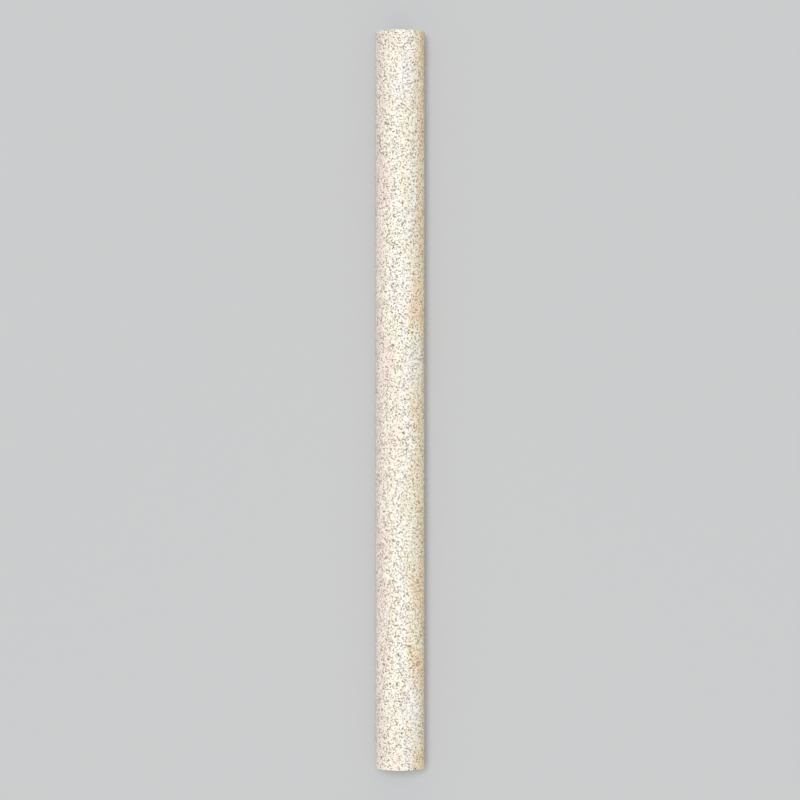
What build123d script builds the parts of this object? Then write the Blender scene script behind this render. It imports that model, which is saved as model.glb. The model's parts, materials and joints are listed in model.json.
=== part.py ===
from build123d import *
import math
import os

# Bicycle spoke reflector: a slit plastic sleeve that snaps sideways onto a wheel spoke,
# with a strip of glass-bead reflective film wrapped round its outside from lip to lip.
#
# Millimetres. The spoke's line is the Y axis and the origin lies on it, half way along.
# The mouth that the spoke snaps through faces -Z, so the clip lies on the film's two long edges.

# Driving dimensions
clip_length = 75.0        # cut length of the sleeve and of its film
outside_diameter = 5.0    # over the film
film_thickness = 0.2      # film with its adhesive
bore_diameter = 2.0       # seat of a plain-gauge wheel spoke
throat_width = 1.4        # narrowest gap, which the spoke snaps past
throat_land = 0.3         # straight depth of the throat, below the bore
mouth_width = 2.0         # gap where the lead-in meets the sleeve's outside
nib_radius = 0.2          # rounds on the nibs that keep the spoke in
lip_radius = 0.18         # round on each lip of the mouth
film_setback = 0.06       # bare strip between a lip's round and the film's edge

# Radii and half widths that follow from them
film_radius = outside_diameter / 2
sleeve_radius = film_radius - film_thickness
bore_radius = bore_diameter / 2
throat_half = throat_width / 2
mouth_half = mouth_width / 2

# Heights of the mouth's corners on the section, with the spoke's line at zero
nib_top = -math.sqrt(bore_radius**2 - throat_half**2)
nib_foot = nib_top - throat_land
lip_corner = -math.sqrt(sleeve_radius**2 - mouth_half**2)


def mouth_gap():
    """The gap below the bore: a straight throat, then a lead-in that flares out through the outside."""
    flare = (mouth_half - throat_half) / (nib_foot - lip_corner)
    clear_of_sleeve = -outside_diameter
    clear_half = throat_half + flare * (nib_foot - clear_of_sleeve)
    right_side = [(throat_half, 0), (throat_half, nib_foot), (clear_half, clear_of_sleeve)]
    left_side = [(-x, y) for x, y in reversed(right_side)]
    with BuildSketch() as gap:
        with BuildLine():
            Polyline(*right_side, *left_side, close=True)
        make_face()
    return gap.sketch


def sleeve_section():
    """C-shaped section of the sleeve, with rounded nibs at its throat and rounded lips at its mouth."""
    with BuildSketch() as section:
        Circle(sleeve_radius)
        Circle(bore_radius, mode=Mode.SUBTRACT)
        add(mouth_gap(), mode=Mode.SUBTRACT)
        # From the bottom up the corners are the two lips, then the foot and the top of both nibs.
        fillet(section.vertices().sort_by(Axis.Y)[2:6], nib_radius)
        fillet(section.vertices().sort_by(Axis.Y)[:2], lip_radius)
    return section.sketch


def film_section(sleeve):
    """Section of the film: a band on the sleeve's outer arc that stops short of each lip's round."""
    seat = sleeve.edges().filter_by(GeomType.CIRCLE).sort_by(SortBy.RADIUS)[-1]
    seat_end = seat.vertices().sort_by(Axis.Y)[0]
    lip_angle = math.degrees(math.atan2(abs(seat_end.X), -seat_end.Y))
    bare_angle = lip_angle + math.degrees(film_setback / sleeve_radius)
    start_angle = bare_angle - 90
    wrap_angle = 360 - 2 * bare_angle
    with BuildSketch() as section:
        with BuildLine():
            inner = CenterArc((0, 0), sleeve_radius, start_angle, wrap_angle)
            outer = CenterArc((0, 0), film_radius, start_angle, wrap_angle)
            Line(inner @ 0, outer @ 0)
            Line(inner @ 1, outer @ 1)
        make_face()
    return section.sketch


def cut_to_length(section):
    """A section run along the spoke's line, half the clip's length each way from the origin."""
    return extrude(Plane.XZ * section, amount=clip_length / 2, both=True)


sleeve = sleeve_section()
pieces = {
    "clip_body": cut_to_length(sleeve),
    "reflective_film": cut_to_length(film_section(sleeve)),
}

os.makedirs("parts", exist_ok=True)
for name, piece in pieces.items():
    export_step(piece, f"parts/{name}.step")
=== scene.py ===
import json
import math

import bmesh
import bpy
import numpy as np
from bpy.props import FloatProperty, FloatVectorProperty, IntProperty, PointerProperty
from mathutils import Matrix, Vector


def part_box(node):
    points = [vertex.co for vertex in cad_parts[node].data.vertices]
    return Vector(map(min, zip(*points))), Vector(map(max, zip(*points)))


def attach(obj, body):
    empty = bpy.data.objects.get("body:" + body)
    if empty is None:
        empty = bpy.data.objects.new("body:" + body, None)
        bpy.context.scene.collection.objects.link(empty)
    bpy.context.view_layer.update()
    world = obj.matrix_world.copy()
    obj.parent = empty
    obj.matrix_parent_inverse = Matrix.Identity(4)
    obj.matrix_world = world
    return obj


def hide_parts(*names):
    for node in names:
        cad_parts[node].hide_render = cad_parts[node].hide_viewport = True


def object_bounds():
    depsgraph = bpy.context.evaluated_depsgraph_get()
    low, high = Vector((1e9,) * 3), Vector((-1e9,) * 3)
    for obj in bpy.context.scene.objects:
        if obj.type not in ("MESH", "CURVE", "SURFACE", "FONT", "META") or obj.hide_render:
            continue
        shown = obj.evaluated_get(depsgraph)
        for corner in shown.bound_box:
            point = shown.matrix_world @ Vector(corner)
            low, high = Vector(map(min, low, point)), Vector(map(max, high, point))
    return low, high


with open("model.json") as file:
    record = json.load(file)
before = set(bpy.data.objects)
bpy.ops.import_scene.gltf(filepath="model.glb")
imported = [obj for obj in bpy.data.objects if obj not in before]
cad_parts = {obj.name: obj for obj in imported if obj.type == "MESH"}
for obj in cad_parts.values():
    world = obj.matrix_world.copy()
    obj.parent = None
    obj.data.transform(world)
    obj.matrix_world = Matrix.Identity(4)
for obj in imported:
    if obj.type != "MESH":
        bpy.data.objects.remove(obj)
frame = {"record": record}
cad_low, cad_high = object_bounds()

bl_info = {
    "name": "Spoke Reflector Clip",
    "version": (1, 0, 0),
    "blender": (4, 5, 0),
    "location": "View3D > Sidebar > Spoke Reflector",
    "description": "Makes a bicycle spoke reflector clip: a slit sleeve wrapped in glass-bead film",
    "category": "Add Mesh",
}

# Metres in a millimetre
MM = 0.001

# Names that the imported model goes by, and the name of the film's bake map
BODY = "root"
SLEEVE_NODE = "clip_body"
FILM_NODE = "reflective_film"
BAKE_MAP = "OFBake"

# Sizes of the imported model, in metres: the spoke's line is Y, and the mouth faces -Z
sleeve_low, sleeve_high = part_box(SLEEVE_NODE)
film_low, film_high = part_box(FILM_NODE)
spoke_bore_radius = frame["record"]["mounts"][0]["dims"]["r_mm"] * MM

# Directions on a section, as angles from +X towards +Z
UP = math.pi / 2
DOWN = -math.pi / 2
LEFT = math.pi

# Straight steps in each round of half a section
BORE_STEPS = 36
UPPER_NIB_STEPS = 6
LOWER_NIB_STEPS = 4
LIP_STEPS = 10
SLEEVE_STEPS = 56
FILM_SEAT_STEPS = 14
FILM_CORNER_STEPS = 3

# Rims that turn by more than this angle are softened, in this many steps
RIM_ANGLE = math.radians(60)
RIM_STEPS = 2


class SleeveSettings(bpy.types.PropertyGroup):
    """Sizes and colour of the slit plastic sleeve."""

    length: FloatProperty(
        name="Length", description="Cut length of the sleeve",
        default=sleeve_high.y - sleeve_low.y, min=0.001, unit="LENGTH", precision=5)
    radius: FloatProperty(
        name="Outside Radius", description="Radius of the seat that the film lies on",
        default=sleeve_high.x, min=0.0005, unit="LENGTH", precision=5)
    bore_radius: FloatProperty(
        name="Bore Radius", description="Radius of the channel that holds the spoke",
        default=spoke_bore_radius, min=0.0002, unit="LENGTH", precision=5)
    throat_width: FloatProperty(
        name="Throat Width", description="Narrowest gap, which the spoke snaps past",
        default=1.4 * MM, min=0.0001, unit="LENGTH", precision=5)
    throat_land: FloatProperty(
        name="Throat Land", description="Straight depth of the throat below the bore",
        default=0.3 * MM, min=0.0, unit="LENGTH", precision=5)
    mouth_width: FloatProperty(
        name="Mouth Width", description="Gap where the lead-in meets the outside",
        default=2.0 * MM, min=0.0001, unit="LENGTH", precision=5)
    nib_radius: FloatProperty(
        name="Nib Radius", description="Rounds on the nibs that keep the spoke in",
        default=0.2 * MM, min=0.00001, unit="LENGTH", precision=5)
    lip_radius: FloatProperty(
        name="Lip Radius", description="Round on each lip of the mouth",
        default=0.18 * MM, min=0.00001, unit="LENGTH", precision=5)
    cut_bevel: FloatProperty(
        name="Cut Bevel", description="Softened rim that the blade leaves at each end",
        default=0.03 * MM, min=0.0, unit="LENGTH", precision=6)
    spans: IntProperty(
        name="Spans", description="Rows of faces along the sleeve", default=60, min=1)
    colour: FloatVectorProperty(
        name="Plastic", description="Colour of the extruded plastic",
        default=(0.56, 0.57, 0.57), min=0.0, max=1.0, subtype="COLOR")


class FilmSettings(bpy.types.PropertyGroup):
    """Sizes, grain and colours of the reflective film."""

    length: FloatProperty(
        name="Length", description="Cut length of the film",
        default=film_high.y - film_low.y, min=0.001, unit="LENGTH", precision=5)
    radius: FloatProperty(
        name="Outside Radius", description="Radius over the film",
        default=film_high.x, min=0.0005, unit="LENGTH", precision=5)
    seat_radius: FloatProperty(
        name="Seat Radius", description="Radius of the sleeve under the film",
        default=sleeve_high.x, min=0.0005, unit="LENGTH", precision=5)
    bare_angle: FloatProperty(
        name="Bare Angle", description="Angle from the middle of the mouth to the film's edge",
        default=math.acos(-film_low.z / film_high.x), min=0.0, subtype="ANGLE", unit="ROTATION")
    cut_bevel: FloatProperty(
        name="Cut Bevel", description="Softened rim that the blade leaves at the film's edges",
        default=0.025 * MM, min=0.0, unit="LENGTH", precision=6)
    bead_layer: FloatProperty(
        name="Bead Layer", description="Depth of the layer of beads on top of the carrier",
        default=0.06 * MM, min=0.0, unit="LENGTH", precision=6)
    glue_layer: FloatProperty(
        name="Glue Layer", description="Depth of the adhesive under the carrier",
        default=0.045 * MM, min=0.0, unit="LENGTH", precision=6)
    grain_size: FloatProperty(
        name="Grain Size", description="Width of the bumps that clusters of beads make",
        default=0.24 * MM, min=0.00001, unit="LENGTH", precision=6)
    grain_height: FloatProperty(
        name="Grain Height", description="Depth of the hollows between the bumps",
        default=0.022 * MM, min=0.0, unit="LENGTH", precision=6)
    bead_size: FloatProperty(
        name="Bead Size", description="Distance from one bead of the grain to the next",
        default=0.13 * MM, min=0.00001, unit="LENGTH", precision=6)
    bead_relief: FloatProperty(
        name="Bead Relief", description="How far a bead stands out of the binder",
        default=0.03 * MM, min=0.0, unit="LENGTH", precision=6)
    dull_rarity: FloatProperty(
        name="Dull Rarity", description="How few beads are dull: a higher number leaves fewer",
        default=2.6, min=0.1)
    dull_depth: FloatProperty(
        name="Dull Depth", description="Share of the speck colour in the dullest beads",
        default=1.0, min=0.0, max=1.0, subtype="FACTOR")
    patch_size: FloatVectorProperty(
        name="Patch Size", description="Width and length of the soft patches of tint",
        default=(1.8 * MM, 7.0 * MM), size=2, unit="LENGTH", precision=5)
    tint_drift: FloatProperty(
        name="Tint Drift", description="How far round the film the tints stray to either side",
        default=math.radians(32), min=0.0, subtype="ANGLE", unit="ROTATION")
    edge_wander: FloatProperty(
        name="Edge Wander", description="How far the slit edges of the film stray from straight",
        default=0.05 * MM, min=0.0, unit="LENGTH", precision=6)
    wander_length: FloatProperty(
        name="Wander Length", description="Length along an edge over which it strays and comes back",
        default=8.0 * MM, min=0.0001, unit="LENGTH", precision=5)
    spans_along: IntProperty(
        name="Spans Along", description="Rows of faces along the film", default=624, min=1)
    spans_around: IntProperty(
        name="Spans Around", description="Columns of faces round the film", default=108, min=8)
    seed: IntProperty(
        name="Seed", description="Changes the bumps and the slit edges", default=7)
    cream: FloatVectorProperty(
        name="Cream", description="Main colour of the beads",
        default=(0.955, 0.91, 0.79), min=0.0, max=1.0, subtype="COLOR")
    rose: FloatVectorProperty(
        name="Rose", description="Faint tint of the left flank",
        default=(0.95, 0.825, 0.76), min=0.0, max=1.0, subtype="COLOR")
    frost: FloatVectorProperty(
        name="Frost", description="Cool white along the crown",
        default=(0.95, 0.93, 0.89), min=0.0, max=1.0, subtype="COLOR")
    # The ochre is partly the film's own tint and partly painted shade of the right flank
    ochre_and_flank_shade: FloatVectorProperty(
        name="Ochre", description="Faint tint of the right flank",
        default=(0.945, 0.778, 0.54), min=0.0, max=1.0, subtype="COLOR")
    lichen: FloatVectorProperty(
        name="Lichen", description="Faint yellow-green patches",
        default=(0.95, 0.95, 0.79), min=0.0, max=1.0, subtype="COLOR")
    speck: FloatVectorProperty(
        name="Speck", description="Colour of the darkest beads",
        default=(0.15, 0.075, 0.004), min=0.0, max=1.0, subtype="COLOR")
    carrier: FloatVectorProperty(
        name="Carrier", description="White plastic sheet under the beads, which shows where the film is cut",
        default=(0.80, 0.80, 0.78), min=0.0, max=1.0, subtype="COLOR")
    glue: FloatVectorProperty(
        name="Glue", description="Adhesive under the carrier, which shows as a line where the film is cut",
        default=(0.42, 0.40, 0.36), min=0.0, max=1.0, subtype="COLOR")


class StageSettings(bpy.types.PropertyGroup):
    """Floor, light and camera."""

    floor_colour: FloatVectorProperty(
        name="Floor", description="Colour of the pale floor",
        default=(0.54, 0.545, 0.55), min=0.0, max=1.0, subtype="COLOR")
    floor_size: FloatProperty(
        name="Floor Size", description="Side of the square floor",
        default=6.0, min=0.1, unit="LENGTH")
    key_level: FloatProperty(
        name="Key Level", description="Share of white that the key light gives a surface that faces it",
        default=0.63, min=0.0)
    key_softness: FloatProperty(
        name="Key Softness", description="Angle that the key light fills, as a softbox does",
        default=math.radians(24), min=0.0, subtype="ANGLE", unit="ROTATION")
    key_lean: FloatVectorProperty(
        name="Key Lean",
        description="How far the key light leans from overhead, to the left and to the far end",
        default=(math.radians(5.5), math.radians(6)), size=2, subtype="EULER", unit="ROTATION")
    overhead_level: FloatProperty(
        name="Overhead Level", description="Brightness of the soft light straight above",
        default=0.55, min=0.0)
    side_level: FloatProperty(
        name="Side Level", description="Brightness of the soft light at the horizon",
        default=0.38, min=0.0)
    lens: FloatProperty(
        name="Lens", description="Focal length in millimetres", default=150.0, min=10.0)
    height_share: FloatProperty(
        name="Height Share", description="Share of the picture's height that the clip fills",
        default=0.92, min=0.1, max=1.0, subtype="FACTOR")


class ReflectorSettings(bpy.types.PropertyGroup):
    """Everything that can be set on the clip and its stage."""

    sleeve: PointerProperty(type=SleeveSettings)
    film: PointerProperty(type=FilmSettings)
    stage: PointerProperty(type=StageSettings)


# Sections, as outlines of points (x, z) across the spoke


def arc(centre, radius, start, end, steps):
    """Points along an arc, both ends included."""
    angles = [start + (end - start) * step / steps for step in range(steps + 1)]
    return [(centre[0] + radius * math.cos(a), centre[1] + radius * math.sin(a)) for a in angles]


def mirrored(points):
    """The same points on the other side of the section's middle, in reverse order."""
    return [(-x, z) for x, z in reversed(points)]


def without_doubles(points, least=1e-7):
    """A closed outline with no two neighbours at one place."""
    pairs = zip(points, points[1:] + points[:1])
    return [here for here, after in pairs if math.dist(here, after) > least]


def sleeve_outline(sizes):
    """The C section of the sleeve: bore, rounded nibs, flared lead-in and rounded lips."""
    throat_half = sizes.throat_width / 2
    mouth_half = sizes.mouth_width / 2
    nib_radius = sizes.nib_radius
    lip_radius = sizes.lip_radius
    nib_top = -math.sqrt(sizes.bore_radius**2 - throat_half**2)
    nib_foot = nib_top - sizes.throat_land
    lip_corner = -math.sqrt(sizes.radius**2 - mouth_half**2)
    flare = math.atan2(mouth_half - throat_half, nib_foot - lip_corner)

    # The upper round of a nib touches the bore and the throat, and the lower one the throat and the lead-in.
    nib_x = throat_half + nib_radius
    upper_nib = (nib_x, -math.sqrt((sizes.bore_radius + nib_radius)**2 - nib_x**2))
    lower_nib = (nib_x, nib_foot + nib_radius * math.tan(flare / 2))
    bore_end = math.atan2(upper_nib[1], upper_nib[0])

    # The lip's round touches the lead-in and the outside.
    across = (-math.cos(flare), -math.sin(flare))
    along = (math.sin(flare), -math.cos(flare))
    lead_in_reach = across[0] * throat_half + across[1] * nib_foot
    lip_across = lead_in_reach - lip_radius
    lip_along = math.sqrt((sizes.radius - lip_radius)**2 - lip_across**2)
    lip = tuple(lip_across * a + lip_along * b for a, b in zip(across, along))
    lip_end = math.atan2(lip[1], lip[0])

    right_half = [
        *arc((0, 0), sizes.bore_radius, UP, bore_end, BORE_STEPS),
        *arc(upper_nib, nib_radius, bore_end + LEFT, LEFT, UPPER_NIB_STEPS),
        *arc(lower_nib, nib_radius, LEFT, LEFT + flare, LOWER_NIB_STEPS),
        *arc(lip, lip_radius, LEFT + flare, lip_end + 2 * math.pi, LIP_STEPS),
        *arc((0, 0), sizes.radius, lip_end, UP, SLEEVE_STEPS),
    ]
    return without_doubles(right_half + mirrored(right_half))


def film_outline(sizes):
    """The band section of the film, with its two outer edges rounded off."""
    edge = DOWN + sizes.bare_angle
    corner_reach = sizes.radius - sizes.cut_bevel
    turn = math.asin(sizes.cut_bevel / corner_reach)
    corner = (corner_reach * math.cos(edge + turn), corner_reach * math.sin(edge + turn))
    # The seat's flats touch the sleeve at their middles, so that they never cut into it.
    seat_step = (UP - edge) / FILM_SEAT_STEPS
    seat_radius = sizes.seat_radius / math.cos(seat_step / 2)
    right_half = [
        *arc((0, 0), seat_radius, UP, edge, FILM_SEAT_STEPS),
        *arc(corner, sizes.cut_bevel, edge + DOWN, edge + turn, FILM_CORNER_STEPS),
        *arc((0, 0), sizes.radius, edge + turn, UP, sizes.spans_around // 2),
    ]
    return without_doubles(right_half + mirrored(right_half))


# Steps of node trees


def fill(tree, node, inputs):
    """Links or sets each named input of a node."""
    for key, value in inputs.items():
        if isinstance(value, bpy.types.NodeSocket):
            tree.links.new(value, node.inputs[key])
        else:
            node.inputs[key].default_value = value


def add(tree, kind, label, inputs=None, **settings):
    """Adds a labelled node, sets its options, then fills its inputs."""
    node = tree.nodes.new(kind)
    node.label = label
    for name, value in settings.items():
        setattr(node, name, value)
    fill(tree, node, inputs or {})
    return node


def maths(tree, operation, label, first, second=0.0):
    """One step of arithmetic, as the socket that gives its result."""
    node = add(tree, "ShaderNodeMath", label, {0: first, 1: second}, operation=operation)
    return node.outputs[0]


def vector_maths(tree, operation, label, first, second=(0.0, 0.0, 0.0)):
    """One step of vector arithmetic, as the socket that gives its result."""
    node = add(tree, "ShaderNodeVectorMath", label, {0: first, 1: second}, operation=operation)
    return node.outputs[0]


def combined(tree, label, parts):
    """A vector put together from its named parts, with the others at zero."""
    return add(tree, "ShaderNodeCombineXYZ", label, parts).outputs[0]


def ranged(tree, label, value, start, end, low=0.0, high=1.0, smooth=False):
    """A value taken from one range to another and held there."""
    steps = "SMOOTHSTEP" if smooth else "LINEAR"
    inputs = {"Value": value, 1: start, 2: end, 3: low, 4: high}
    return add(tree, "ShaderNodeMapRange", label, inputs, interpolation_type=steps).outputs[0]


def mixed(tree, label, share, first, second):
    """Two colours mixed by a share, as the socket that gives the result."""
    inputs = {0: share, 6: first, 7: second}
    return add(tree, "ShaderNodeMix", label, inputs, data_type="RGBA").outputs[2]


def mixed_numbers(tree, label, share, first, second):
    """Two numbers mixed by a share, as the socket that gives the result."""
    return add(tree, "ShaderNodeMix", label, {0: share, 2: first, 3: second}).outputs[0]


def noise(tree, label, place, scale=1.0, detail=2.0, roughness=0.5):
    """Soft noise from 0 to 1."""
    node = add(tree, "ShaderNodeTexNoise", label, {
        "Vector": place, "Scale": scale, "Detail": detail, "Roughness": roughness})
    return node.outputs[0]


def spread_out(tree, label, soft, low=0.0, high=1.0):
    """Soft noise, which keeps near its middle, spread from low to high."""
    usual_low, usual_high = 0.3, 0.7
    return ranged(tree, label, soft, usual_low, usual_high, low, high)


def stretched(tree, label, place, scale, turn=(0.0, 0.0, 0.0)):
    """The place turned, then scaled by its own amount along each axis."""
    turned = add(tree, "ShaderNodeMapping", label, {"Vector": place, "Rotation": turn}).outputs[0]
    return vector_maths(tree, "MULTIPLY", label, turned, scale)


def round_and_along(tree, place):
    """A place's angle round the spoke, from the crown towards +X, and its way along the spoke."""
    parts = add(tree, "ShaderNodeSeparateXYZ", "Parts", {0: place}).outputs
    angle = maths(tree, "ARCTAN2", "Angle from crown", parts["X"], parts["Z"])
    return angle, parts["Y"]


def out_from_spoke(tree, place):
    """A place's way straight out from the spoke's line, as a vector and as a distance."""
    radial = vector_maths(tree, "MULTIPLY", "Across spoke", place, (1.0, 0.0, 1.0))
    length = add(tree, "ShaderNodeVectorMath", "Reach", {0: radial}, operation="LENGTH")
    return radial, length.outputs["Value"]


def opaque(colour):
    """A colour with its alpha."""
    return (*colour, 1.0)


def shaded(colour, share):
    """A colour made darker or lighter by a share, with its alpha."""
    return opaque([min(channel * share, 1.0) for channel in colour])


# The section run, which makes a piece from its outline

# Name, kind and default of what it takes
RUN_INPUTS = (
    ("Length", "NodeSocketFloat", 75.0 * MM),
    ("Spans", "NodeSocketInt", 1),
    ("Outside Radius", "NodeSocketFloat", 2.5 * MM),
    ("Grain Size", "NodeSocketFloat", 1.0 * MM),
    ("Grain Height", "NodeSocketFloat", 0.0),
    ("Edge Wander", "NodeSocketFloat", 0.0),
    ("Wander Length", "NodeSocketFloat", 1.0 * MM),
    ("Seed", "NodeSocketInt", 0),
    ("Material", "NodeSocketMaterial", None),
)


def section_run_tree():
    """Geometry nodes that run a closed section along the spoke and sink a grain into its outside."""
    tree = bpy.data.node_groups.new("Section Run", "GeometryNodeTree")
    tree.interface.new_socket(name="Section", in_out="INPUT", socket_type="NodeSocketGeometry")
    for name, kind, default in RUN_INPUTS:
        socket = tree.interface.new_socket(name=name, in_out="INPUT", socket_type=kind)
        socket.default_value = default
    tree.interface.new_socket(name="Piece", in_out="OUTPUT", socket_type="NodeSocketGeometry")
    given = add(tree, "NodeGroupInput", "Sizes").outputs

    body = run_along_spoke(tree, given)
    wandered = add(tree, "GeometryNodeSetPosition", "Stray slit edges", {
        "Geometry": body, "Position": strayed_place(tree, given)})
    grained = add(tree, "GeometryNodeSetPosition", "Sink grain", {
        "Geometry": wandered.outputs[0], "Offset": grain_offset(tree, given)})
    smooth = add(tree, "GeometryNodeSetShadeSmooth", "Smooth", {"Geometry": grained.outputs[0]})
    real = add(tree, "GeometryNodeRealizeInstances", "Real", {"Geometry": smooth.outputs[0]})
    finished = add(tree, "GeometryNodeSetMaterial", "Finish", {
        "Geometry": real.outputs[0], "Material": given["Material"]})
    add(tree, "NodeGroupOutput", "Piece", {0: finished.outputs[0]})
    return tree


def run_along_spoke(tree, given):
    """The section run along the spoke's line in even spans, with closed ends."""
    # A profile lies in XY with its Y towards the piece's -Z, so the section is turned to match.
    flat = add(tree, "GeometryNodeTransform", "Lay section flat", {
        "Geometry": given["Section"], "Rotation": (math.pi / 2, 0.0, 0.0)})
    profile = add(tree, "GeometryNodeMeshToCurve", "Section curve", {"Mesh": flat.outputs[0]})
    far_end = maths(tree, "MULTIPLY", "Far end", given["Length"], 0.5)
    near_end = maths(tree, "MULTIPLY", "Near end", far_end, -1.0)
    line = add(tree, "GeometryNodeCurvePrimitiveLine", "Spoke line", {
        "Start": combined(tree, "Start", {"Y": near_end}), "End": combined(tree, "End", {"Y": far_end})})
    stations = maths(tree, "ADD", "Stations", given["Spans"], 1.0)
    rings = add(tree, "GeometryNodeResampleCurve", "Even spans", {
        "Curve": line.outputs[0], "Count": stations})
    run = add(tree, "GeometryNodeCurveToMesh", "Run section", {
        "Curve": rings.outputs[0], "Profile Curve": profile.outputs[0], "Fill Caps": True})
    return run.outputs[0]


def strayed_place(tree, given):
    """Each point turned a little towards the crown, by a share that changes along each slit edge."""
    place = add(tree, "GeometryNodeInputPosition", "Place").outputs[0]
    turn, along = round_and_along(tree, place)
    # The two edges read the noise far apart, so that each strays in its own way.
    lanes_apart = 20.0
    side = maths(tree, "SIGN", "Side", turn)
    side_lane = maths(tree, "MULTIPLY", "Lane of the side", side, lanes_apart)
    lane = maths(tree, "ADD", "Lane", side_lane, given["Seed"])
    station = maths(tree, "DIVIDE", "Station", along, given["Wander Length"])
    wave = noise(tree, "Slow wave", combined(tree, "Lookup", {"X": lane, "Y": station}), detail=1.0)
    half_round = maths(tree, "MULTIPLY", "Half way round", given["Outside Radius"], math.pi)
    most_stray = maths(tree, "DIVIDE", "Most stray", given["Edge Wander"], half_round)
    stray = maths(tree, "MULTIPLY", "Stray", wave, most_stray)
    towards_crown = maths(tree, "MULTIPLY", "Towards the crown", turn, -1.0)
    back = maths(tree, "MULTIPLY", "Back turn", towards_crown, stray)
    turned = add(tree, "ShaderNodeVectorRotate", "Turn about spoke", {
        "Vector": place, "Axis": (0.0, 1.0, 0.0), "Angle": back})
    return turned.outputs[0]


def grain_offset(tree, given):
    """How far each outside point sinks between the bead clusters, as a vector towards the spoke."""
    # The outside begins at this share of its radius, so that the seat and the cut edges stay plain.
    outside_share = 0.998
    # Values of the noise at the bottom of a hollow and at the top of a bump
    bottom, top = 0.25, 0.7
    place = add(tree, "GeometryNodeInputPosition", "Place").outputs[0]
    radial, reach = out_from_spoke(tree, place)
    outward = vector_maths(tree, "NORMALIZE", "Outward", radial)
    outside_start = maths(tree, "MULTIPLY", "Outside begins", given["Outside Radius"], outside_share)
    outside = maths(tree, "GREATER_THAN", "On the outside", reach, outside_start)
    density = maths(tree, "DIVIDE", "Grains per metre", 1.0, given["Grain Size"])
    shift = combined(tree, "Seed shift", {"Y": given["Seed"]})
    shifted = vector_maths(tree, "ADD", "Seeded place", place, shift)
    clusters = noise(tree, "Bead clusters", shifted, density, roughness=0.6)
    hollow = ranged(tree, "Hollows", clusters, bottom, top, 1.0, 0.0)
    depth = maths(tree, "MULTIPLY", "Depth", hollow, given["Grain Height"])
    sunk = maths(tree, "MULTIPLY", "Outside only", depth, outside)
    inward = maths(tree, "MULTIPLY", "Inward", sunk, -1.0)
    offset = add(tree, "ShaderNodeVectorMath", "Offset", {0: outward, "Scale": inward}, operation="SCALE")
    return offset.outputs[0]


# Pieces


def outline_object(name, outline):
    """An object whose mesh is the closed outline of a section, as edges across the spoke."""
    mesh = bpy.data.meshes.new(name)
    count = len(outline)
    edges = [(index, (index + 1) % count) for index in range(count)]
    mesh.from_pydata([(x, 0.0, z) for x, z in outline], edges, [])
    piece = bpy.data.objects.new(name, mesh)
    bpy.context.scene.collection.objects.link(piece)
    return piece


def run_section(piece, tree, values, cut_bevel):
    """Runs the piece's outline along the spoke, softens the cut rims and leaves a plain mesh."""
    run = piece.modifiers.new("Section run", "NODES")
    run.node_group = tree
    for item in tree.interface.items_tree:
        if item.in_out == "INPUT" and item.name in values:
            run[item.identifier] = values[item.name]
    rims = piece.modifiers.new("Cut rims", "BEVEL")
    rims.limit_method = "ANGLE"
    rims.angle_limit = RIM_ANGLE
    rims.width = cut_bevel
    rims.segments = RIM_STEPS
    rims.harden_normals = True
    bpy.context.view_layer.update()
    graph = bpy.context.evaluated_depsgraph_get()
    outline = piece.data
    piece_mesh = bpy.data.meshes.new_from_object(
        piece.evaluated_get(graph), preserve_all_data_layers=True, depsgraph=graph)
    piece.modifiers.clear()
    piece.data = piece_mesh
    bpy.data.meshes.remove(outline)
    face_outwards(piece_mesh)
    if not piece_mesh.polygons:
        raise RuntimeError(f"{piece.name} came out with no faces")


def face_outwards(mesh):
    """Turns the faces round if the closed mesh came out inside out."""
    work = bmesh.new()
    work.from_mesh(mesh)
    inside_out = work.calc_volume(signed=True) < 0
    work.free()
    if inside_out:
        mesh.flip_normals()


def numbers(items, name, width, kind=np.float32):
    """One property of every item of a mesh, as rows of numbers."""
    flat = np.empty(len(items) * width, dtype=kind)
    items.foreach_get(name, flat)
    return flat.reshape(-1, width)


def film_face_kinds(normal, centre):
    """Whether each face of the film is part of its outside, seat, slit edges or cut ends."""
    # How squarely a face has to point along the spoke, or straight out from it or in, to count as doing so
    square_along = 0.7
    square_across = 0.5
    outward = centre * (1, 0, 1)
    outward /= np.linalg.norm(outward, axis=1, keepdims=True)
    facing_out = (normal * outward).sum(axis=1)
    tests = [abs(normal[:, 1]) > square_along, facing_out > square_across, facing_out < -square_across]
    return np.select(tests, ["end", "outside", "seat"], default="edge")


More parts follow.
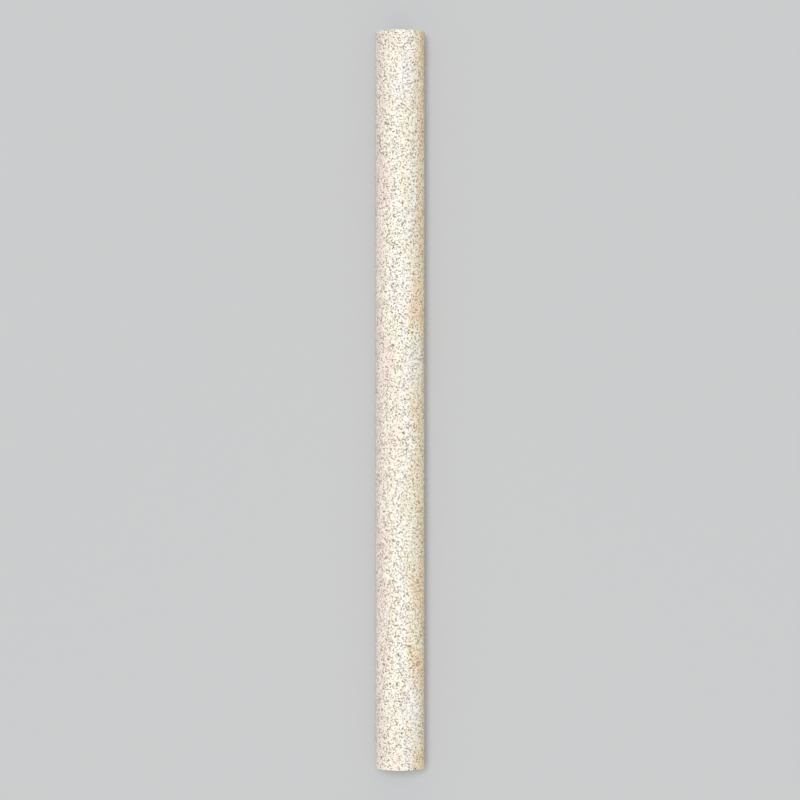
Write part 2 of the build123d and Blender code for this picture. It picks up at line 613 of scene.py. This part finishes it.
def unroll_film(mesh, sizes):
    """Lays the film flat on its bake map, each half by itself: the outside, then what hardly shows."""
    # Cut faces are shown taller than they are, and the hidden seat narrower.
    cut_stretch = 4
    seat_share = 0.25
    gap = 0.15 * MM

    centre = numbers(mesh.polygons, "center", 3)
    face_corners = numbers(mesh.polygons, "loop_total", 1, np.int32).ravel()
    kind = np.repeat(film_face_kinds(numbers(mesh.polygons, "normal", 3), centre), face_corners)
    far_half = np.repeat(centre[:, 1] > 0, face_corners)
    right_side = np.repeat(centre[:, 0] > 0, face_corners)

    vertex = numbers(mesh.loops, "vertex_index", 1, np.int32).ravel()
    x, y, z = numbers(mesh.vertices, "co", 3)[vertex].T
    half_length = sizes.length / 2
    along = np.where(far_half, y, y + half_length)
    arc_length = 2 * (math.pi - sizes.bare_angle) * sizes.radius
    around = arc_length / 2 + np.arctan2(x, z) * sizes.radius
    above_seat = cut_stretch * (np.hypot(x, z) - sizes.seat_radius)
    cut_height = cut_stretch * (sizes.radius - sizes.seat_radius)

    # For each kind of face, its place across the map and up its strip, and the strip's height
    strips = {
        "outside": (along, around, arc_length),
        "seat": (along, around * seat_share, arc_length * seat_share),
        "edge": (along, above_seat + right_side * (cut_height + gap), 2 * cut_height + gap),
        "end": (around, above_seat, cut_height),
    }
    flat = np.zeros((len(vertex), 2))
    start = gap
    for name, (wide, high, height) in strips.items():
        for half in (False, True):
            chosen = (kind == name) & (far_half == half)
            flat[chosen] = np.column_stack((wide[chosen] + gap, high[chosen] + start))
            start += height + gap
    flat /= max(start, half_length + 2 * gap)
    bake_map = mesh.uv_layers.new(name=BAKE_MAP)
    bake_map.uv.foreach_set("vector", flat.astype(np.float32).ravel())


def hand_over(piece, node):
    """Makes the finished piece stand for its CAD node."""
    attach(piece, BODY)
    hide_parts(node)


# Finishes


def new_finish(name):
    """An empty material with its shader, object coordinates and output."""
    material = bpy.data.materials.new(name)
    material.use_nodes = True
    tree = material.node_tree
    tree.nodes.clear()
    shader = add(tree, "ShaderNodeBsdfPrincipled", "Surface")
    add(tree, "ShaderNodeOutputMaterial", "Out", {"Surface": shader.outputs[0]})
    place = add(tree, "ShaderNodeTexCoord", "Place").outputs["Object"]
    return material, tree, shader, place


def relief(tree, label, height, depth, strength):
    """A surface raised by a height from 0 to 1, as the socket that gives its normal."""
    return add(tree, "ShaderNodeBump", label, {
        "Strength": strength, "Distance": depth, "Height": height}).outputs[0]


def film_finish(sizes):
    """Bead film: round beads, a few of them dull, in a pale binder, on a white carrier with its glue."""
    # Distances from a bead's middle, in bead sizes: where its face ends, its rim and the foot of its dome
    face_end, rim, dome_foot = 0.48, 0.62, 0.66
    binder_brightness = 0.96
    smoothest, roughest = 0.40, 0.65
    material, tree, shader, place = new_finish("bead film")
    laid_flat = place_laid_flat(tree, place, sizes.radius)
    reach, dullness, haze = scattered_beads(tree, laid_flat, sizes.bead_size)

    few_dull = maths(tree, "POWER", "Few dull beads", dullness, sizes.dull_rarity)
    dull = maths(tree, "MULTIPLY", "Dull beads", few_dull, sizes.dull_depth)
    bright = maths(tree, "SUBTRACT", "Not dull", 1.0, dull)
    on_bead = ranged(tree, "On a bead", reach, rim, face_end, smooth=True)
    brightness = mixed_numbers(tree, "Beads or binder", on_bead, binder_brightness, bright)
    beaded = mixed(tree, "Beads", brightness, opaque(sizes.speck), film_tint_and_flank_shade(tree, sizes, place))
    dome = ranged(tree, "Bead domes", reach, 0.0, dome_foot, 1.0, 0.0, smooth=True)
    fill(tree, shader, {
        "Base Color": film_layers(tree, sizes, place, beaded),
        "Roughness": ranged(tree, "Bead haze", haze, 0.0, 1.0, smoothest, roughest),
        "Normal": relief(tree, "Bead relief", dome, depth=sizes.bead_relief, strength=0.55),
        "Specular IOR Level": 0.3,
        "Diffuse Roughness": 0.2,
    })
    return material


def place_laid_flat(tree, place, radius):
    """A place on the film once it is laid flat, turned so that rows of beads lie on a slant to the spoke."""
    slant = math.radians(29)
    angle, along = round_and_along(tree, place)
    around = maths(tree, "MULTIPLY", "Way round", angle, radius)
    flat = combined(tree, "Laid flat", {"X": around, "Y": along})
    return add(tree, "ShaderNodeMapping", "Slant", {
        "Vector": flat, "Rotation": (0.0, 0.0, slant)}).outputs[0]


def scattered_beads(tree, laid_flat, size):
    """The distance from the middle of the nearest bead, in bead sizes, and two random shares of its own."""
    beads = add(tree, "ShaderNodeTexVoronoi", "Beads", {
        "Vector": laid_flat, "Scale": 1 / size, "Randomness": 0.75}, voronoi_dimensions="2D").outputs
    own = add(tree, "ShaderNodeSeparateColor", "Own shares", {0: beads["Color"]}).outputs
    return beads["Distance"], own["Red"], own["Blue"]


def film_tint_and_flank_shade(tree, sizes, place):
    """Soft tints: rose on the left flank, frost along the crown, ochre on the right, and green patches; the
    darker ochre is partly painted shade of the right flank.
    """
    wide, long = sizes.patch_size
    drift_scale = (1 / wide, 1 / long, 1 / wide)
    slow = noise(tree, "Slow drift", stretched(tree, "Long patches", place, drift_scale))
    drift = spread_out(tree, "Drift", slow, -sizes.tint_drift, sizes.tint_drift)
    angle, _ = round_and_along(tree, place)
    strayed = maths(tree, "ADD", "Strayed round", angle, drift)
    ramp = add(tree, "ShaderNodeValToRGB", "Tints and painted flank shade round the film", {
        0: ranged(tree, "Ramp place", strayed, -math.pi, math.pi)})
    # Degrees round from the crown, and the tint there; the ochre on the right flank is partly tint and
    # partly painted shade
    tints = ((-100, sizes.cream), (-55, sizes.rose), (-24, sizes.cream), (5, sizes.frost),
             (30, sizes.cream), (60, sizes.ochre_and_flank_shade), (104, sizes.cream))
    stops = ramp.color_ramp.elements
    while len(stops) < len(tints):
        stops.new(0.5)
    for stop, (degrees, colour) in zip(stops, tints):
        stop.position = 0.5 + degrees / 360
        stop.color = opaque(colour)

    # The green patches are a little wider than the drift's and much shorter.
    patch_scale = (0.9 / wide, 1.6 / long, 0.9 / wide)
    green_start, green_full, green_most = 0.52, 0.78, 0.8
    patches = noise(tree, "Patches", stretched(tree, "Short patches", place, patch_scale))
    green = ranged(tree, "Lichen share", patches, green_start, green_full, 0.0, green_most)
    return mixed(tree, "Lichen patches", green, ramp.outputs[0], opaque(sizes.lichen))


def film_layers(tree, sizes, place, bead_colour):
    """The film's layers by depth, which show where it is cut: glue, white carrier, then beads."""
    _, reach = out_from_spoke(tree, place)
    blur = 0.012 * MM
    glue_top = sizes.seat_radius + sizes.glue_layer
    beads_start = sizes.radius - sizes.bead_layer
    on_carrier = ranged(tree, "Above glue", reach, glue_top, glue_top + blur)
    in_beads = ranged(tree, "Above carrier", reach, beads_start, beads_start + blur)
    cut = mixed(tree, "Cut film", on_carrier, opaque(sizes.glue), opaque(sizes.carrier))
    return mixed(tree, "Film", in_beads, cut, bead_colour)


def plastic_finish(sizes):
    """Extruded plastic with faint die lines along its walls and blade marks on its cut ends."""
    # Marks per metre along each axis, and the slant of the blade
    line_scale = (9000.0, 40.0, 9000.0)
    mark_scale = (1500.0, 1500.0, 7500.0)
    cloud_scale = 700.0
    blade_slant = (0.0, math.radians(24), 0.0)
    # Shades of the plastic, and how rough it is
    dark, light, whitened = 0.86, 1.1, 1.17
    smoothest, roughest, rougher_on_end = 0.36, 0.5, 0.16
    material, tree, shader, place = new_finish("sleeve plastic")
    lines = noise(tree, "Die lines", stretched(tree, "Along the die", place, line_scale), detail=3.0)
    cloud = noise(tree, "Clouding", place, cloud_scale, detail=3.0)
    marks = noise(tree, "Blade marks", stretched(tree, "Across the cut", place, mark_scale, blade_slant))
    on_end = on_cut_end(tree, sizes, place)

    # Lines and clouds together keep nearer their middle than either does alone.
    wall_low, wall_high = 0.35, 0.65
    wall = mixed_numbers(tree, "Lines and clouds", 0.5, lines, cloud)
    wall_share = ranged(tree, "Wall spread", wall, wall_low, wall_high)
    wall_colour = mixed(tree, "Wall", wall_share, shaded(sizes.colour, dark), shaded(sizes.colour, light))
    mark_share = spread_out(tree, "Mark spread", marks)
    end_colour = mixed(tree, "Cut end", mark_share, opaque(sizes.colour), shaded(sizes.colour, whitened))
    satin = spread_out(tree, "Satin", lines, smoothest, roughest)
    rougher = maths(tree, "MULTIPLY", "Rougher end", on_end, rougher_on_end)
    raised = mixed_numbers(tree, "Lines or marks", on_end, lines, marks)
    fill(tree, shader, {
        "Base Color": mixed(tree, "Plastic", on_end, wall_colour, end_colour),
        "Roughness": maths(tree, "ADD", "Satin or cut", satin, rougher),
        "Normal": relief(tree, "Line relief", raised, depth=0.012 * MM, strength=0.4),
    })
    return material


def on_cut_end(tree, sizes, place):
    """Whether a place lies on either cut end, as a share."""
    along = add(tree, "ShaderNodeSeparateXYZ", "Along", {0: place}).outputs["Y"]
    distance = maths(tree, "ABSOLUTE", "From the middle", along)
    end = sizes.length / 2
    return ranged(tree, "On a cut end", distance, end - sizes.cut_bevel, end - sizes.cut_bevel / 4)


def floor_finish(colour):
    """A plain matt floor with hardly visible clouding."""
    cloud_scale = 6.0
    cloud_shade = 0.985
    material, tree, shader, place = new_finish("pale floor")
    cloud = spread_out(tree, "Faint", noise(tree, "Faint clouding", place, cloud_scale))
    fill(tree, shader, {
        "Base Color": mixed(tree, "Floor", cloud, shaded(colour, cloud_shade), opaque(colour)),
        "Roughness": 0.9,
        "Specular IOR Level": 0.1,
    })
    return material


# Stage


def lay_floor(scene, settings):
    """A square floor that the clip's film edges rest on."""
    half = settings.floor_size / 2
    corners = [(-half, -half), (half, -half), (half, half), (-half, half)]
    mesh = bpy.data.meshes.new("floor")
    mesh.from_pydata([(x, y, cad_low.z) for x, y in corners], [], [(0, 1, 2, 3)])
    mesh.materials.append(floor_finish(settings.floor_colour))
    floor = bpy.data.objects.new("floor", mesh)
    scene.collection.objects.link(floor)


def hang_lights(scene, settings):
    """One soft key from overhead, and light from all round that is strongest straight above."""
    key = bpy.data.lights.new("key", "SUN")
    key.energy = settings.key_level * math.pi
    key.angle = settings.key_softness
    lamp = bpy.data.objects.new("key", key)
    to_left, to_far_end = settings.key_lean
    lamp.rotation_euler = (-to_far_end, -to_left, 0.0)
    scene.collection.objects.link(lamp)

    white = (1.0, 1.0, 1.0)
    world = bpy.data.worlds.new("studio")
    world.use_nodes = True
    tree = world.node_tree
    tree.nodes.clear()
    way = add(tree, "ShaderNodeTexCoord", "Way").outputs["Generated"]
    rise = add(tree, "ShaderNodeSeparateXYZ", "Rise", {0: way}).outputs["Z"]
    level = ranged(tree, "Stronger overhead", rise, 0.0, 1.0, settings.side_level, settings.overhead_level)
    light = add(tree, "ShaderNodeBackground", "Soft light", {"Color": opaque(white), "Strength": level})
    backdrop = add(tree, "ShaderNodeBackground", "Pale backdrop", {"Color": opaque(settings.floor_colour)})
    ray = add(tree, "ShaderNodeLightPath", "Ray").outputs
    seen = maths(tree, "MAXIMUM", "Seen or mirrored", ray["Is Camera Ray"], ray["Is Glossy Ray"])
    shown = maths(tree, "MAXIMUM", "Or seen through", seen, ray["Is Transmission Ray"])
    both = add(tree, "ShaderNodeMixShader", "Light or backdrop", {
        0: shown, 1: light.outputs[0], 2: backdrop.outputs[0]})
    add(tree, "ShaderNodeOutputWorld", "Out", {"Surface": both.outputs[0]})
    scene.world = world


def place_camera(scene, settings):
    """A camera straight above the clip, with the clip's far end at the top of the picture."""
    camera = bpy.data.cameras.new("camera")
    camera.lens = settings.lens
    camera.clip_start = 0.01
    view_height = (cad_high.y - cad_low.y) / settings.height_share
    eye = bpy.data.objects.new("camera", camera)
    eye.location = (0.0, 0.0, view_height * camera.lens / camera.sensor_width)
    scene.collection.objects.link(eye)
    scene.camera = eye


# Operators


class SPOKE_REFLECTOR_OT_sleeve(bpy.types.Operator):
    """Make the slit plastic sleeve that snaps onto the spoke"""

    bl_idname = "spoke_reflector.sleeve"
    bl_label = "Slit Sleeve"

    def execute(self, context):
        sizes = context.scene.spoke_reflector.sleeve
        piece = outline_object("slit_sleeve", sleeve_outline(sizes))
        run_section(piece, section_run_tree(), {
            "Length": sizes.length,
            "Spans": sizes.spans,
            "Outside Radius": sizes.radius,
            "Material": plastic_finish(sizes),
        }, sizes.cut_bevel)
        hand_over(piece, SLEEVE_NODE)
        return {"FINISHED"}


class SPOKE_REFLECTOR_OT_film(bpy.types.Operator):
    """Make the glass-bead film that wraps the sleeve from lip to lip"""

    bl_idname = "spoke_reflector.film"
    bl_label = "Reflective Film"

    def execute(self, context):
        sizes = context.scene.spoke_reflector.film
        piece = outline_object("bead_film_wrap", film_outline(sizes))
        run_section(piece, section_run_tree(), {
            "Length": sizes.length,
            "Spans": sizes.spans_along,
            "Outside Radius": sizes.radius,
            "Grain Size": sizes.grain_size,
            "Grain Height": sizes.grain_height,
            "Edge Wander": sizes.edge_wander,
            "Wander Length": sizes.wander_length,
            "Seed": sizes.seed,
            "Material": film_finish(sizes),
        }, sizes.cut_bevel)
        unroll_film(piece.data, sizes)
        hand_over(piece, FILM_NODE)
        return {"FINISHED"}


class SPOKE_REFLECTOR_OT_stage(bpy.types.Operator):
    """Set the pale floor, the soft light and the camera that looks down on the clip"""

    bl_idname = "spoke_reflector.stage"
    bl_label = "Stage"

    def execute(self, context):
        scene = context.scene
        settings = scene.spoke_reflector.stage
        scene.view_settings.view_transform = "Standard"
        lay_floor(scene, settings)
        hang_lights(scene, settings)
        place_camera(scene, settings)
        return {"FINISHED"}


class VIEW3D_PT_spoke_reflector(bpy.types.Panel):
    """Lists the steps that make the clip"""

    bl_idname = "VIEW3D_PT_spoke_reflector"
    bl_label = "Spoke Reflector"
    bl_space_type = "VIEW_3D"
    bl_region_type = "UI"
    bl_category = "Spoke Reflector"

    def draw(self, context):
        settings = context.scene.spoke_reflector
        steps = (
            (SPOKE_REFLECTOR_OT_sleeve, settings.sleeve),
            (SPOKE_REFLECTOR_OT_film, settings.film),
            (SPOKE_REFLECTOR_OT_stage, settings.stage),
        )
        for operator, group in steps:
            box = self.layout.box()
            for name in group.bl_rna.properties.keys():
                if name not in ("rna_type", "name"):
                    box.prop(group, name)
            box.operator(operator.bl_idname)


CLASSES = (
    SleeveSettings,
    FilmSettings,
    StageSettings,
    ReflectorSettings,
    SPOKE_REFLECTOR_OT_sleeve,
    SPOKE_REFLECTOR_OT_film,
    SPOKE_REFLECTOR_OT_stage,
    VIEW3D_PT_spoke_reflector,
)


def register():
    for each in CLASSES:
        bpy.utils.register_class(each)
    bpy.types.Scene.spoke_reflector = PointerProperty(type=ReflectorSettings)


def unregister():
    del bpy.types.Scene.spoke_reflector
    for each in reversed(CLASSES):
        bpy.utils.unregister_class(each)


def main():
    register()
    bpy.ops.spoke_reflector.sleeve()
    bpy.ops.spoke_reflector.film()
    bpy.ops.spoke_reflector.stage()


if __name__ == "__main__":
    main()
